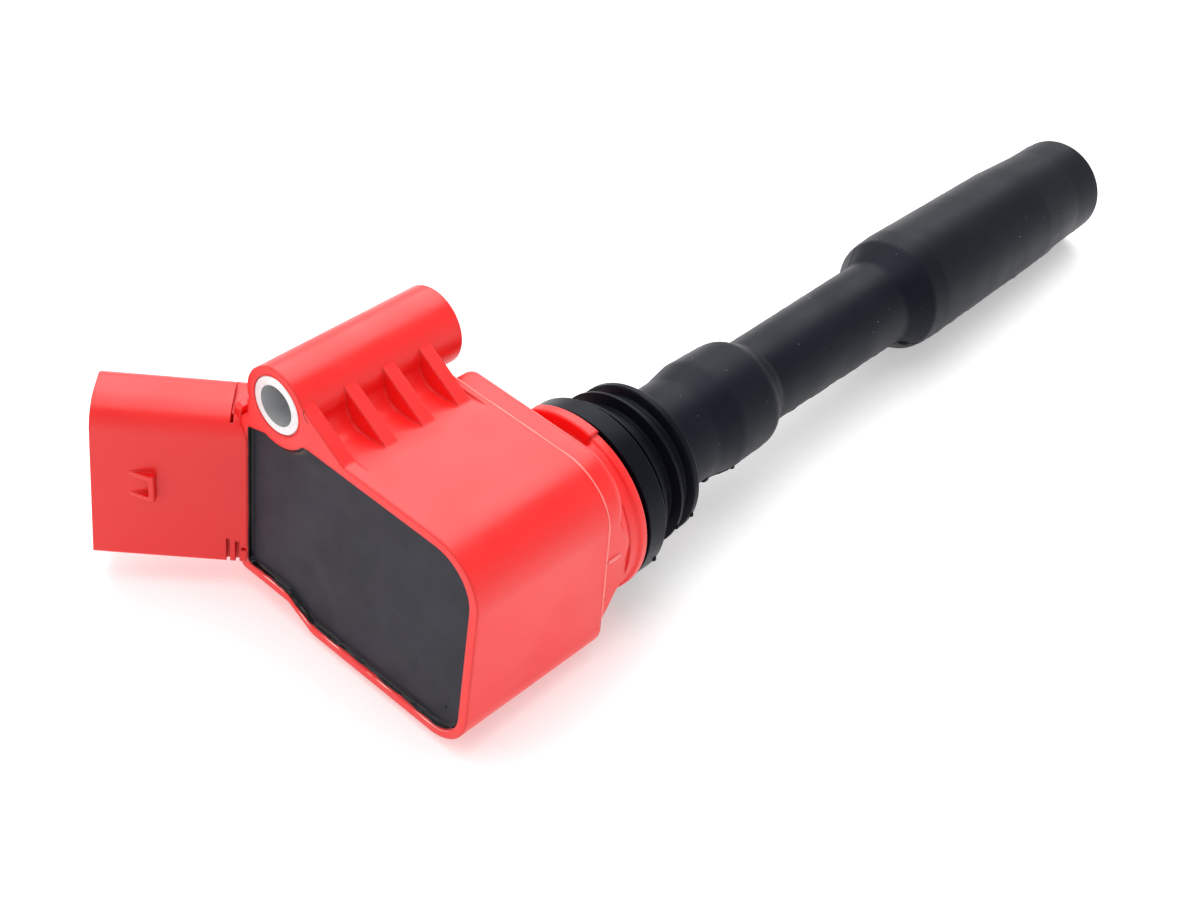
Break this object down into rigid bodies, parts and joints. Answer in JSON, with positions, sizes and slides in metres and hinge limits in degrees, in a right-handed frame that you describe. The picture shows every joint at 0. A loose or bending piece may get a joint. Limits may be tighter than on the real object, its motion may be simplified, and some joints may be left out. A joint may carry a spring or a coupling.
{
  "type": "ignition coil",
  "caption": "Coil-on-plug ignition coil: moulded head with angled plug socket and bolt boss, ribbed well seal, stepped rubber boot and sprung spark plug contact.",
  "frame": {"origin": "on the shaft axis, in the middle of the seal band that closes the spark plug well", "axes": "+X along the shaft towards the spark plug, +Z towards the bolt boss side, +Y towards the harness socket side"},
  "size_m": [0.1872, 0.0693, 0.0433],
  "materials": {
    "red_housing": "satin",
    "red_socket": "satin",
    "sleeve_metal": "satin",
    "resin": "satin",
    "seal_rubber": "satin",
    "boot_rubber": "matte",
    "core_steel": "matte",
    "magnet": "matte",
    "cushion": "matte",
    "bobbin": "matte",
    "copper": "satin",
    "board": "matte",
    "chip": "matte",
    "capacitor": "satin",
    "brass": "satin",
    "ceramic": "matte",
    "spring_steel": "satin",
    "tinned": "satin"
  },
  "bodies": {
    "coil": {"housing_shell": "red_housing", "seal_tower": "red_housing", "connector_shell": "red_socket", "mounting_sleeve": "sleeve_metal", "potting_resin": "resin", "well_seal": "seal_rubber", "center_core": "core_steel", "outer_core": "core_steel", "core_magnet": "magnet", "core_cushion": "cushion", "primary_bobbin": "bobbin", "primary_winding": "copper", "secondary_bobbin": "bobbin", "secondary_winding": "copper", "driver_board": "board", "igbt_switch": "chip", "noise_capacitor": "capacitor", "lead_frame": "brass", "hv_terminal": "brass", "hv_diode": "chip", "suppressor_resistor": "ceramic", "contact_spring": "spring_steel", "terminal_pin_1": "tinned", "terminal_pin_2": "tinned", "terminal_pin_3": "tinned", "terminal_pin_4": "tinned"},
    "boot": {"plug_boot": "boot_rubber"},
    "contact": {"contact_cap": "brass"}
  },
  "joints": [
    {"name": "boot_pull", "type": "slide", "parent": "coil", "child": "boot", "axis": [1, 0, 0], "range_m": [0, 0.09]},
    {"name": "contact_press", "type": "slide", "parent": "coil", "child": "contact", "axis": [-1, 0, 0], "range_m": [0, 0.006], "stiffness_N_per_m": 400, "deforming": ["contact_spring"]}
  ]
}
